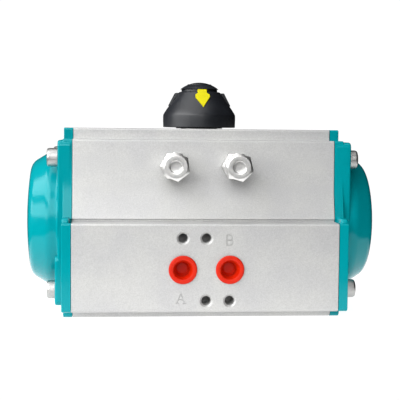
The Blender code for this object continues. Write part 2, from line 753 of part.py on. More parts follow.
def make_bearings(frame):
    """The shaft's two bearings in the body, and the ring and washer that hold it up."""

    def bush(name, finish, radii, heights):
        inner, outer = radii
        low, high = heights
        rings = [(inner, low), (outer, low), (outer, high), (inner, high)]
        add(name, ringed(rings, ROUND, through=True), finish, frame)

    top = TOP_JOURNAL_RADIUS + GAP
    bottom = JOURNAL_RADIUS + GAP
    plastic = white_plastic()
    bush("top_bearing", plastic, (top, TOP_BEARING_RADIUS - GAP), (POCKET_TOP + GAP, TOP_BEARING_SEAT - GAP))
    bush("bottom_bearing", plastic, (bottom, BOTTOM_BEARING_RADIUS - GAP), (BEARING_FLOOR + GAP, 12 * MM))
    bush("thrust_ring", black_plastic(), (top, THRUST_RING_RADIUS), (BODY_HEIGHT + GAP, THRUST_RING_TOP))
    bush("thrust_washer", bright_steel(), (top, 13.6 * MM), (THRUST_RING_TOP + GAP, 102.4 * MM))


def make_snap_ring(axis_frame):
    """A spring-steel ring with a gap, in the groove above the washer."""
    outline = arc((0, 0), 12.6 * MM, 20, 340, 20) + arc((0, 0), 8.95 * MM, 340, 20, 20)
    add("snap_ring", prism(outline, 102.8 * MM, 103.6 * MM), dark_steel(), axis_frame)


def rack_outline():
    """The right piston's rack arm in (x, y), in front of the pinion, with a gap at x = 0."""
    pitch = math.pi * MODULE
    tip = PITCH_RADIUS - MODULE
    root = PITCH_RADIUS + 1.25 * MODULE
    slope = math.tan(PRESSURE_ANGLE)
    half_at_pitch = (pitch - BACKLASH) / 4
    half_tip = half_at_pitch - (PITCH_RADIUS - tip) * slope
    half_root = half_at_pitch + (root - PITCH_RADIUS) * slope
    points = [(HEAD_INNER + 1.5 * MM, -RACK_BACK), (HEAD_INNER + 1.5 * MM, -root)]
    for index in range(5, -7, -1):
        middle = (index - 0.5) * pitch
        if middle - half_root > -RACK_END + 1 * MM:
            points += [
                (middle + half_root, -root),
                (middle + half_tip, -tip),
                (middle - half_tip, -tip),
                (middle - half_root, -root),
            ]
    points += [
        (-RACK_END, -root),
        (-RACK_END, -RACK_BACK + 3 * MM),
        (-RACK_END + 3 * MM, -RACK_BACK),
        (-20.3 * MM, -RACK_BACK),
        (-20.3 * MM, -RACK_BACK + 1.5 * MM),
        (4.3 * MM, -RACK_BACK + 1.5 * MM),
        (4.3 * MM, -RACK_BACK),
    ]
    return points


def make_piston(word, frame, turn, direction):
    """A piston with its rack, seal, wear ring and guide; the left one is the right one turned half round."""
    carrier = empty(f"{word}_piston_slide", frame, (direction * REST_SLIDE, 0, 0), turn)
    head_rings = [
        (HEAD_RADIUS - 0.6 * MM, HEAD_INNER),
        (HEAD_RADIUS, HEAD_INNER + 0.6 * MM),
        (HEAD_RADIUS, 30.7 * MM),
        (35.0 * MM, 30.7 * MM),
        (35.0 * MM, 34.9 * MM),
        (HEAD_RADIUS, 34.9 * MM),
        (HEAD_RADIUS, 37.1 * MM),
        (34.4 * MM, 37.1 * MM),
        (34.4 * MM, 40.1 * MM),
        (HEAD_RADIUS, 40.1 * MM),
        (HEAD_RADIUS, HEAD_OUTER - 0.5 * MM),
        (HEAD_RADIUS - 0.5 * MM, HEAD_OUTER),
        (26 * MM, HEAD_OUTER),
        (24 * MM, HEAD_OUTER - 4 * MM),
    ]
    centre = (0, 0, BORE_HEIGHT)
    head = moved(ringed(head_rings, FINE, axis="X"), centre)
    piston = add(f"piston_{word}", head, cast_aluminium(), carrier)
    rack = prism(rack_outline(), BORE_HEIGHT - RACK_HALF_HEIGHT, BORE_HEIGHT + RACK_HALF_HEIGHT)
    combine(piston, f"piston_{word}_rack", rack, "UNION")
    seal = moved(torus(36.0 * MM, 1.2 * MM, 38.6 * MM, FINE, 4, "X"), centre)
    add(f"piston_seal_{word}", seal, black_rubber(), carrier)
    wear = [(35.3 * MM, 31 * MM), (37.2 * MM, 31 * MM), (37.2 * MM, 34.6 * MM), (35.3 * MM, 34.6 * MM)]
    wear_ring = moved(ringed(wear, FINE, through=True, axis="X"), centre)
    add(f"piston_wear_ring_{word}", wear_ring, white_plastic(), carrier)
    pad = arc((0, BORE_HEIGHT), 37.1 * MM, 180 - 12.4, 180 + 12.4, 8)
    inner = -RACK_BACK + 1.2 * MM
    pad += [(inner, BORE_HEIGHT - GUIDE_HALF_HEIGHT), (inner, BORE_HEIGHT + GUIDE_HALF_HEIGHT)]
    add(f"rack_guide_{word}", prism(pad, -20 * MM, 4 * MM, "X"), white_plastic(), carrier)


def cone_frame(height, facing):
    """The middle of the indicator's cone at a height, and its outward, upward and sideways directions."""
    across = CONE_LOW[0] - CONE_HIGH[0]
    up = CONE_HIGH[1] - CONE_LOW[1]
    radius = CONE_LOW[0] - across * (height - CONE_LOW[1]) / up
    outward = Vector((math.cos(facing), math.sin(facing), 0))
    climb = (Vector((0, 0, up)) - outward * across).normalized()
    side = climb.cross(outward).normalized()
    normal = side.cross(climb).normalized()
    return outward * radius + Vector((0, 0, height)), normal, climb, side


def arrow_prism(facing, inner, outer, grow):
    """A downward arrow lying on the cone, between two depths along its normal."""
    middle, normal, climb, side = cone_frame(115.8 * MM, facing)
    if normal.dot(Vector((math.cos(facing), math.sin(facing), 0))) < 0:
        normal = -normal
    tail = 2.5 * MM + grow
    wide = 3.9 * MM + grow
    outline = [
        (-tail, 6.1 * MM + grow),
        (-tail, 3.6 * MM + grow),
        (-wide, 2.6 * MM + grow),
        (-wide, 1.0 * MM - grow / 2),
        (0, -5.7 * MM - 1.6 * grow),
        (wide, 1.0 * MM - grow / 2),
        (wide, 2.6 * MM + grow),
        (tail, 3.6 * MM + grow),
        (tail, 6.1 * MM + grow),
    ]
    form = prism(outline, inner, outer)
    for vert in form.verts:
        across, up, depth = vert.co
        vert.co = middle + side * across + climb * up + normal * depth
    return form


def blank_prism(facing, grow):
    """A plain wedge-shaped insert in the cone's side, standing proud at its top."""
    inset = 1.3 * MM + grow
    outline = [
        (16.8 * MM - inset, 112.1 * MM - grow),
        (17.1 * MM + grow, 112.1 * MM - grow),
        (13.4 * MM + grow, 119.2 * MM + grow),
        (11.8 * MM - inset, 119.2 * MM + grow),
    ]
    half = 3.3 * MM + grow
    form = prism(outline, -half, half, "Y")
    bmesh.ops.rotate(form, matrix=Matrix.Rotation(facing, 3, "Z"), verts=form.verts, cent=(0, 0, 0))
    return form


def make_indicator(axis_frame):
    """The position indicator: base, arrow and blank inserts, clamp screw and clip-on cap."""
    hub = flattened(9.3 * MM, 6.3 * MM)
    rings = [
        (15.5 * MM, 104.2 * MM),
        (15.5 * MM, INDICATOR_BOTTOM),
        (INDICATOR_RADIUS, INDICATOR_BOTTOM),
        (INDICATOR_RADIUS, 106.8 * MM),
        (19.75 * MM, 107.7 * MM),
        (19.1 * MM, 108.7 * MM),
        CONE_LOW,
        CONE_HIGH,
        (11.3 * MM, 119.7 * MM),
        (9.9 * MM, 119.9 * MM),
        (9.9 * MM, 121.0 * MM),
        (M6_HOLE, 121.0 * MM),
        (M6_HOLE, SHAFT_TOP + GAP),
        (hub, SHAFT_TOP + GAP),
        (hub, 104.9 * MM),
        (14.0 * MM, 104.9 * MM),
    ]
    base = add("indicator_base", ringed(rings, ROUND, through=True), black_plastic(), axis_frame)
    for word, facing in (("front", -90), ("back", 90)):
        angle = math.radians(facing)
        combine(base, f"arrow_pocket_{word}_cutter", arrow_prism(angle, -1.3 * MM, 4 * MM, GAP))
        add(f"arrow_insert_{word}", arrow_prism(angle, -1.0 * MM, 0.5 * MM, 0), yellow_plastic(), axis_frame)
    for word, facing in (("left", 180), ("right", 0)):
        angle = math.radians(facing)
        combine(base, f"blank_pocket_{word}_cutter", blank_prism(angle, GAP))
        add(f"blank_insert_{word}", blank_prism(angle, 0), black_plastic(), axis_frame)
    crown = (CAP_RADIUS**2 + (INDICATOR_TOP - CAP_BOTTOM) ** 2) / (2 * (INDICATOR_TOP - CAP_BOTTOM))
    half = math.degrees(math.asin(CAP_RADIUS / crown))
    cap_rings = [(6.6 * MM, INDICATOR_TOP - 1.1 * MM), (6.6 * MM, CAP_BOTTOM)]
    for index in range(6):
        angle = math.radians(half * (1 - index / 5.5))
        cap_rings.append((crown * math.sin(angle), INDICATOR_TOP - crown * (1 - math.cos(angle))))
    add("indicator_cap", ringed(cap_rings, ROUND), black_plastic(), axis_frame)
    screw_rings = [
        (M6_RADIUS, SHAFT_TOP - 12 * MM),
        (M6_RADIUS, 121.3 * MM),
        (5 * MM, 121.3 * MM),
        (4.6 * MM, 122.6 * MM),
        (3.4 * MM, 123.5 * MM),
        (polygon(6, 4 * MM), 123.5 * MM),
        (polygon(6, 4 * MM), 122.1 * MM),
    ]
    add("indicator_screw", ringed(screw_rings, SMALL), bright_steel(), axis_frame)


def build():
    clear_objects()
    frame = empty("axis_frame", None, (0, AXIS_SHIFT, 0))
    pinion_axis = empty("pinion_axis", frame, turn=REST_TURN)
    make_body(frame)
    for word, side in (("left", -1), ("right", 1)):
        make_end_cap(f"end_cap_{word}", frame, side)
    make_cap_screws(frame)
    make_port_plugs(frame)
    make_stops(frame)
    make_bearings(frame)
    make_pinion(pinion_axis)
    make_travel_cam(pinion_axis)
    make_snap_ring(pinion_axis)
    make_indicator(pinion_axis)
    make_piston("right", frame, 0, 1)
    make_piston("left", frame, math.pi, -1)


build()
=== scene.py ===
"""The looks of the rotary pneumatic actuator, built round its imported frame.

Everything is in metres in the frame's own axes. Lengths are written in millimetres with MM, and run from the
output shaft's axis, which stands at x = 0, y = AXIS_Y.
"""

import json
import math

import bmesh
import bpy
from mathutils import Matrix, Vector


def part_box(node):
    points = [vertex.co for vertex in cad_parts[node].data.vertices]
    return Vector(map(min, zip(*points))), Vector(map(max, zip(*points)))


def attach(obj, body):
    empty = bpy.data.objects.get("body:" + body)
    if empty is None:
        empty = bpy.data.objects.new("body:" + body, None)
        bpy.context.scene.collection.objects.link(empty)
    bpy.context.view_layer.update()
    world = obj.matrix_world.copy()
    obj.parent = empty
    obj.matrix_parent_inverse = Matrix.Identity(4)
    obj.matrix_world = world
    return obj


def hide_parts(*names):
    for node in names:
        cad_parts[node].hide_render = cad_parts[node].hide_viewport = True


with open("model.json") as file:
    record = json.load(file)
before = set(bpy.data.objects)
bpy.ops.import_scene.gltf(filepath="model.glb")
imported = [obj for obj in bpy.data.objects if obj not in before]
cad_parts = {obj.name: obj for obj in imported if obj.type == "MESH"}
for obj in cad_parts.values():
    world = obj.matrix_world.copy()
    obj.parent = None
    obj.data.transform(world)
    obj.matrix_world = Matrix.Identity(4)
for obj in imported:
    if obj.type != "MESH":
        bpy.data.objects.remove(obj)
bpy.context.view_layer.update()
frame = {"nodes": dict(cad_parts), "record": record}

MM = 0.001
TAU = 2 * math.pi

shaft_low, shaft_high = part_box("pinion")
body_low, body_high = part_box("body")
AXIS_Y = (shaft_low[1] + shaft_high[1]) / 2
BODY_HALF_LENGTH = body_high[0]
BODY_HEIGHT = body_high[2]
BORE_HEIGHT = BODY_HEIGHT / 2
PORT_FACE = AXIS_Y - body_low[1]
BACK_FACE = body_high[1] - AXIS_Y

# Body outline
RIB_HALF_WIDTH = 24.4 * MM
SHOULDER_HEIGHT = 93.7 * MM
UPPER_FACE_TOP = 36.9 * MM
UPPER_FACE_KINK = 38.0 * MM
KINK_HEIGHT = 66.0 * MM
UPPER_FACE_FOOT = 41.3 * MM
UPPER_CORNER = 1 * MM
GROOVE_DEPTH = 1.0 * MM
GROOVE_HEIGHT = 1.2 * MM
PAD_TOP = 51.5 * MM
PAD_TOP_CORNER = 1.2 * MM
PAD_BOTTOM_CORNER = 2 * MM
PAD_BOTTOM = 6.05 * MM
FOOT_HALF_WIDTH = 33.4 * MM
FOOT_CORNER = 3 * MM
RIB_CORNER = 1 * MM
PORT_SIDE_REACH = UPPER_FACE_FOOT + 3 * MM

# Holes
BORE_RADIUS = 37.5 * MM
PORT_X = 12 * MM
PORT_HEIGHT = 28 * MM
VALVE_RISE = 16 * MM
STOP_X = 16 * MM
STOP_HEIGHT = 80.2 * MM
STOP_FACE = 37.4 * MM
M5_CORE = 2.1 * MM
M5_PITCH = 0.8 * MM
VALVE_HOLE_CORE = 2.45 * MM
M6_CORE = 2.5 * MM
M6_PITCH = 1 * MM
M8_CORE = 3.4 * MM
M8_PITCH = 1.25 * MM

# End caps
CAP_INNER = BODY_HALF_LENGTH + 0.2 * MM
CAP_BASE_OUTER = 73.3 * MM
CAP_PLATE_OUTER = 76 * MM
CAP_PLATE_HALF_WIDTH = 37.6 * MM
CAP_PLATE_BOTTOM = 7 * MM
CAP_PLATE_TOP = 93 * MM
BOSS_OUTER = 77.4 * MM
BOSS_NEAR_SIDE = 22 * MM
CAP_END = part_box("end_cap_right")[1][0]
DOME_RADIUS = 36.9 * MM
SCREW_Y = 31.5 * MM
SCREW_HEIGHTS = (15 * MM, 84 * MM)
SCREW_SEAT = 75.6 * MM
SCREW_HEAD_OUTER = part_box("cap_screw_8")[1][0] - 0.6 * MM

# Stop bolts and lock nuts
HEXAGON_ACROSS = 13 * MM

# Indicator
INDICATOR_TURN = math.radians(3)
INDICATOR_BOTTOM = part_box("indicator_base")[0][2]
INDICATOR_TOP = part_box("indicator_cap")[1][2]
CONE_LOW = (18.1 * MM, 110.2 * MM)
CONE_HIGH = (11.8 * MM, 119.2 * MM)


# Shape helpers ------------------------------------------------------------------------------------


def circle(radius):
    return lambda angle: radius


def polygon(sides, across_flats, turn=0.0):
    """A regular polygon as radius against angle, with a flat facing the angle turn."""
    step = TAU / sides
    return lambda angle: across_flats / 2 / math.cos((angle - turn + step / 2) % step - step / 2)


def smaller(first, second):
    """The outline inside both of two outlines, such as a hexagon's corners cut by a cone."""
    return lambda angle: min(first(angle), second(angle))


def along(form, axis):
    """Turns a form built along Z to run along another axis."""
    turns = {
        "Z": Matrix.Identity(4),
        "X": Matrix.Rotation(math.pi / 2, 4, "Y"),
        "-X": Matrix.Rotation(-math.pi / 2, 4, "Y"),
        "Y": Matrix.Rotation(-math.pi / 2, 4, "X"),
        "-Y": Matrix.Rotation(math.pi / 2, 4, "X"),
    }
    bmesh.ops.transform(form, matrix=turns[axis], verts=form.verts)
    return form


def ringed(rings, segments=64, through=False, axis="Z", twist=0.0):
    """A solid skinned over rings of (outline, height); through joins its last ring to its first."""
    form = bmesh.new()
    loops = []
    for outline, height in rings:
        if not callable(outline):
            outline = circle(outline)
        loop = []
        for index in range(segments):
            angle = TAU * index / segments + twist
            reach = outline(angle)
            loop.append(form.verts.new((reach * math.cos(angle), reach * math.sin(angle), height)))
        loops.append(loop)
    followers = loops[1:] + loops[:1] if through else loops[1:]
    for low, high in zip(loops, followers):
        for index in range(segments):
            after = (index + 1) % segments
            form.faces.new((low[index], low[after], high[after], high[index]))
    if not through:
        form.faces.new(loops[0])
        form.faces.new(loops[-1])
    return along(form, axis)


def prism(outline, start, end, axis="Z"):
    """A closed outline pushed along an axis: (x, y) along Z, (y, z) along X, (x, z) along Y."""
    place = {
        "Z": lambda a, b, c: (a, b, c),
        "X": lambda a, b, c: (c, a, b),
        "Y": lambda a, b, c: (a, c, b),
    }[axis]
    form = bmesh.new()
    low = [form.verts.new(place(a, b, start)) for a, b in outline]
    high = [form.verts.new(place(a, b, end)) for a, b in outline]
    form.faces.new(low)
    form.faces.new(high)
    for index in range(len(outline)):
        after = (index + 1) % len(outline)
        form.faces.new((low[index], low[after], high[after], high[index]))
    bmesh.ops.recalc_face_normals(form, faces=form.faces)
    return form


def arc(centre, radius, start, end, steps):
    """Points on an arc, with its angles in degrees."""
    points = []
    for index in range(steps + 1):
        angle = math.radians(start + (end - start) * index / steps)
        points.append((centre[0] + radius * math.cos(angle), centre[1] + radius * math.sin(angle)))
    return points


def moved(form, offset):
    bmesh.ops.translate(form, vec=Vector(offset), verts=form.verts)
    return form


def sided(form, side):
    """Mirrors a form to -X when side is -1."""
    if side < 0:
        bmesh.ops.scale(form, vec=(-1, 1, 1), verts=form.verts)
        bmesh.ops.reverse_faces(form, faces=form.faces)
    return form


def rounded(form, radius, steps=3, angle=30, beyond=None):
    """Rounds edges sharper than an angle in degrees, or only those that lie beyond a distance along X."""
    bmesh.ops.recalc_face_normals(form, faces=form.faces)
    limit = math.radians(angle)
    sharp = [e for e in form.edges if len(e.link_faces) == 2 and e.calc_face_angle() > limit]
    if beyond is not None:
        sharp = [e for e in sharp if min(v.co.x for v in e.verts) > beyond]
    bmesh.ops.bevel(
        form,
        geom=sharp,
        offset=radius,
        segments=steps,
        profile=0.5,
        affect="EDGES",
        clamp_overlap=True,
    )
    return form


def merged(forms):
    """Several separate forms in one."""
    whole = bmesh.new()
    for form in forms:
        mesh = bpy.data.meshes.new("part")
        form.to_mesh(mesh)
        form.free()
        whole.from_mesh(mesh)
        bpy.data.meshes.remove(mesh)
    return whole


def loose(form):
    """An object of a form, not yet finished."""
    bmesh.ops.recalc_face_normals(form, faces=form.faces)
    mesh = bpy.data.meshes.new("part")
    form.to_mesh(mesh)
    form.free()
    made = bpy.data.objects.new("part", mesh)
    bpy.context.scene.collection.objects.link(made)
    return made


def combined(form, others, operation="DIFFERENCE"):
    """The form with each other form cut from it, or joined to it, as a new form."""
    target = loose(form)
    tools = [loose(other) for other in others]
    for tool in tools:
        boolean = target.modifiers.new("combine", "BOOLEAN")
        boolean.operation = operation
        boolean.object = tool
    graph = bpy.context.evaluated_depsgraph_get()
    result = bmesh.new()
    result.from_mesh(target.evaluated_get(graph).to_mesh())
    for used in [target, *tools]:
        bpy.data.objects.remove(used, do_unlink=True)
    return result


def piece(name, form, finish, body, nodes, place=(0, 0, 0), smooth=35):
    """Names a form, puts it in its material, and makes it ride on its body in place of its nodes."""
    made = loose(form)
    made.name = name
    made.data.name = name
    made.data.transform(Matrix.Translation((place[0], place[1] + AXIS_Y, place[2])))
    made.data.materials.append(finish)
    made.data.shade_smooth()
    made.data.set_sharp_from_angle(angle=math.radians(smooth))
    weighted = made.modifiers.new("weighted_normals", "WEIGHTED_NORMAL")
    weighted.keep_sharp = True
    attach(made, body)
    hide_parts(*nodes)


def with_shaft(form):
    """Turns a form about the shaft's axis to where the indicator stands at rest."""
    bmesh.ops.rotate(form, matrix=Matrix.Rotation(INDICATOR_TURN, 3, "Z"), verts=form.verts, cent=(0, 0, 0))
    return form


# Materials ----------------------------------------------------------------------------------------


class Finish:
    """A Principled material with a few helpers for procedural detail in object coordinates."""

    def __init__(self, name, roughness, metallic=0.0, **sockets):
        self.material = bpy.data.materials.new(name)
        self.material.use_nodes = True
        self.nodes = self.material.node_tree.nodes
        self.links = self.material.node_tree.links
        self.shader = self.nodes["Principled BSDF"]
        self.shader.inputs["Roughness"].default_value = roughness
        self.shader.inputs["Metallic"].default_value = metallic
        for socket, value in sockets.items():
            self.shader.inputs[socket.replace("_", " ")].default_value = value
        self.place = self.nodes.new("ShaderNodeTexCoord").outputs["Object"]

    def noise(self, size, detail=2.0, rough=0.5, stretch=(1, 1, 1)):
        """Noise with features of about this size in metres, drawn out by stretch."""
        mapping = self.nodes.new("ShaderNodeMapping")
        mapping.inputs["Scale"].default_value = [1 / s for s in stretch]
        self.links.new(self.place, mapping.inputs["Vector"])
        noise = self.nodes.new("ShaderNodeTexNoise")
        noise.inputs["Scale"].default_value = 1 / size
        noise.inputs["Detail"].default_value = detail
        noise.inputs["Roughness"].default_value = rough
        self.links.new(mapping.outputs["Vector"], noise.inputs["Vector"])
        return noise.outputs["Fac"]

    def ramp(self, factor, *stops):
        """A colour ramp over (position, grey or colour) stops."""
        ramp = self.nodes.new("ShaderNodeValToRGB")
        while len(ramp.color_ramp.elements) < len(stops):
            ramp.color_ramp.elements.new(0.5)
        for element, (position, colour) in zip(ramp.color_ramp.elements, stops):
            element.position = position
            if not hasattr(colour, "__len__"):
                colour = (colour, colour, colour)
            element.color = (*colour, 1)
        self.links.new(factor, ramp.inputs["Fac"])
        return ramp.outputs["Color"]

    def mixed(self, factor, first, second, mode="MIX"):
        mix = self.nodes.new("ShaderNodeMix")
        mix.data_type = "RGBA"
        mix.blend_type = mode
        for socket, value in ((0, factor), (6, first), (7, second)):
            if hasattr(value, "links"):
                self.links.new(value, mix.inputs[socket])
            elif hasattr(value, "__len__"):
                mix.inputs[socket].default_value = (*value, 1)
            else:
                mix.inputs[socket].default_value = value
        return mix.outputs[2]

    def colour(self, output):
        self.links.new(output, self.shader.inputs["Base Color"])

    def rough(self, output):
        self.links.new(output, self.shader.inputs["Roughness"])

    def bumps(self, *layers):
        """Chains bump layers of (height, depth in metres)."""
        normal = None
        for height, depth in layers:
            bump = self.nodes.new("ShaderNodeBump")
            bump.inputs["Distance"].default_value = depth
            bump.inputs["Strength"].default_value = 1.0
            self.links.new(height, bump.inputs["Height"])
            if normal:
                self.links.new(normal, bump.inputs["Normal"])
            normal = bump.outputs["Normal"]
        self.links.new(normal, self.shader.inputs["Normal"])


def blasted_aluminium():
    """Bead-blasted, clear-anodised aluminium: a fine even grain with soft, larger blotches."""
    f = Finish("blasted_aluminium", 0.5, 0.5)
    grain = f.noise(0.55 * MM, 3, 0.7)
    speckle = f.ramp(grain, (0.3, (0.45, 0.45, 0.445)), (0.7, (0.57, 0.57, 0.565)))
    blotch = f.ramp(f.noise(14 * MM, 2), (0.35, (0.94, 0.94, 0.95)), (0.65, (1.0, 1.0, 0.99)))
    f.colour(f.mixed(1.0, speckle, blotch, "MULTIPLY"))
    f.rough(f.ramp(f.noise(0.8 * MM, 2), (0.3, 0.46), (0.7, 0.56)))
    f.bumps((f.noise(0.35 * MM, 3, 0.6), 0.012 * MM))
    return f.material


def teal_paint():
    """Glossy teal powder paint on a die-casting, with a faint orange peel."""
    f = Finish("teal_paint", 0.14, 0.0, Specular_IOR_Level=0.34, Specular_Tint=(0.5, 1.0, 1.0, 1.0))
    tone = f.ramp(f.noise(20 * MM, 2), (0.3, (0.0, 0.245, 0.28)), (0.7, (0.0, 0.265, 0.30)))
    f.colour(tone)
    f.rough(f.ramp(f.noise(3 * MM, 2), (0.3, 0.13), (0.7, 0.19)))
    f.bumps((f.noise(2.2 * MM, 2), 0.012 * MM), (f.noise(9 * MM, 1), 0.03 * MM))
    return f.material


def stainless(name, tone, rough, stretch=(1, 1, 1)):
    """Stainless steel with fine drawn or turned marks."""
    f = Finish(name, 0.28, 1.0)
    f.colour(f.ramp(f.noise(1.2 * MM, 3), (0.3, tone * 0.86), (0.7, (tone, tone * 0.985, tone * 0.95))))
    f.rough(f.ramp(f.noise(0.7 * MM, 3, 0.6, stretch), (0.3, rough[0]), (0.7, rough[1])))
    f.bumps((f.noise(0.5 * MM, 3, 0.6, stretch), 0.004 * MM))
    return f.material


def moulded(name, dark, light, roughness, grain=0.4 * MM, depth=0.008 * MM, **sockets):
    """Moulded plastic between two close tones, with a fine spark-eroded grain."""
    f = Finish(name, roughness, 0.0, **sockets)
    f.colour(f.ramp(f.noise(6 * MM, 3), (0.3, dark), (0.7, light)))
    f.rough(f.ramp(f.noise(1.5 * MM, 2), (0.3, roughness - 0.04), (0.7, roughness + 0.05)))
    f.bumps((f.noise(grain, 2), depth))
    return f.material


def cast_metal():
    """Die-cast aluminium with a slight skin texture."""
    f = Finish("cast_aluminium", 0.45, 0.9)
    f.colour(f.ramp(f.noise(4 * MM, 4), (0.3, 0.42), (0.7, (0.56, 0.57, 0.58))))
    f.rough(f.ramp(f.noise(1.5 * MM, 2), (0.3, 0.36), (0.7, 0.55)))
    f.bumps((f.noise(0.8 * MM, 3), 0.02 * MM))
    return f.material


def make_finishes():
    return {
        "blasted_aluminium": blasted_aluminium(),
        "teal_paint": teal_paint(),
        "bright_steel": stainless("stainless", 0.8, (0.33, 0.42)),
        "screw_steel": stainless("screw_steel", 0.5, (0.36, 0.46)),
        "dark_steel": stainless("nickel_plated", 0.42, (0.24, 0.36), (6, 6, 1)),
        "spring_steel": stainless("spring_steel", 0.2, (0.3, 0.45)),
        "cast_aluminium": cast_metal(),
        "red_plastic": moulded(
            "red_plastic", (0.52, 0.010, 0.0), (0.58, 0.016, 0.0), 0.4, Specular_IOR_Level=0.25
        ),
        "yellow_plastic": moulded(
            "yellow_plastic", (0.58, 0.52, 0.0), (0.62, 0.56, 0.0), 0.5, Specular_IOR_Level=0.2
        ),
        "black_plastic": moulded("black_plastic", (0.010, 0.011, 0.014), (0.015, 0.017, 0.021), 0.36),
        "bearing_plastic": moulded("bearing_plastic", (0.66, 0.63, 0.55), (0.72, 0.70, 0.62), 0.45),
        "black_rubber": moulded("black_rubber", (0.015, 0.015, 0.016), (0.025, 0.025, 0.027), 0.6),
    }


# Pieces -------------------------------------------------------------------------------------------


def half_outline(lower_face, sign, steps=8):
    """One side of the body's outline, from the foot up; lower_face is the lower part's distance."""
    foot_centre = (FOOT_HALF_WIDTH - FOOT_CORNER, FOOT_CORNER)
    pad_low_centre = (lower_face - PAD_BOTTOM_CORNER, PAD_BOTTOM + PAD_BOTTOM_CORNER)
    pad_high_centre = (lower_face - PAD_TOP_CORNER, PAD_TOP - PAD_TOP_CORNER)
    upper_centre = (UPPER_FACE_TOP - UPPER_CORNER, SHOULDER_HEIGHT - UPPER_CORNER)
    rib_centre = (RIB_HALF_WIDTH - RIB_CORNER, BODY_HEIGHT - RIB_CORNER)
    points = [
        *arc(foot_centre, FOOT_CORNER, -90, 0, steps),
        (FOOT_HALF_WIDTH, PAD_BOTTOM),
        *arc(pad_low_centre, PAD_BOTTOM_CORNER, -90, 0, steps),
    ]
    if lower_face > PORT_SIDE_REACH:
        points += arc(pad_high_centre, PAD_TOP_CORNER, 0, 90, steps)
    else:
        points += [(lower_face, PAD_TOP - PAD_TOP_CORNER)]
    points += [
        (UPPER_FACE_FOOT - GROOVE_DEPTH, PAD_TOP),
        (UPPER_FACE_FOOT - GROOVE_DEPTH, PAD_TOP + GROOVE_HEIGHT),
        (UPPER_FACE_FOOT, PAD_TOP + GROOVE_HEIGHT),
        (UPPER_FACE_KINK, KINK_HEIGHT),
        *arc(upper_centre, UPPER_CORNER, 0, 90, steps),
        (RIB_HALF_WIDTH, SHOULDER_HEIGHT),
        *arc(rib_centre, RIB_CORNER, 0, 90, 5),
    ]
    return [(sign * across, up) for across, up in points]


def body_outline():
    return half_outline(PORT_FACE, -1) + half_outline(BACK_FACE, 1)[::-1]


def at_places(places, rings, axis, segments=40):
    """The same stepped round hole at every place."""
    return merged([moved(ringed(rings, segments, axis=axis), place) for place in places])


def countersunk(core, depth, lip):
    """A hole with a countersink, from just outside the face to a drilled point."""
    return [(core + lip + 1 * MM, -1 * MM), (core, lip), (core, depth), (0.3 * MM, depth + core * 0.6)]


def threaded(core, depth, lip, pitch):
    """A countersunk hole whose wall is ribbed like a thread."""
    rings = [(core + lip + 1 * MM, -1 * MM), (core, lip)]
    height = lip
    while height < depth:
        rings += [(core + 0.25 * pitch, height + pitch / 2), (core, height + pitch)]
        height += pitch
    return rings


def on_circle(radius):
    """Four places at 45 degrees on a bolt circle of the mounting face."""
    reach = radius * math.sqrt(0.5)
    return [(sx * reach, sy * reach, 0) for sx in (-1, 1) for sy in (-1, 1)]


def letter_strokes(letter):
    """A port mark's strokes, each a list of (x, z) points, in a box 1 wide and 1.3 high."""
    if letter == "A":
        legs = [(0, 0), (0.5, 1.3), (1, 0)]
        bar = [(0.2, 0.48), (0.8, 0.48)]
        left_serif = [(-0.12, 0), (0.16, 0)]
        right_serif = [(0.84, 0), (1.12, 0)]
        return [legs, bar, left_serif, right_serif]
    upper = [(0.15, 1.3), *arc((0.5, 0.98), 0.32, 90, -90, 8), (0.15, 0.66)]
    lower = [(0.15, 0.66), *arc((0.56, 0.33), 0.33, 90, -90, 8), (0.15, 0)]
    return [[(0.15, -0.02), (0.15, 1.32)], upper, lower]


def engraved_letter(letter, left, bottom, size):
    """Cutters for a shallow mark on the port face: each stroke is a row of thin boxes."""
    half = 0.26 * MM
    depth = 0.45 * MM
    forms = []
    for stroke in letter_strokes(letter):
        points = [Vector((left + x * size, bottom + z * size)) for x, z in stroke]
        for index, (start, end) in enumerate(zip(points, points[1:])):
            run = (end - start).normalized()
            across = Vector((-run.y, run.x)) * half
            ahead = run * half
            first = start - ahead
            last = end + ahead
            corners = [(c.x, c.y) for c in (first + across, first - across, last - across, last + across)]
            shift = 0.001 * MM * (index + 1)
            forms.append(prism(corners, -PORT_FACE - 1 * MM, -PORT_FACE + depth + shift, "Y"))
    return forms


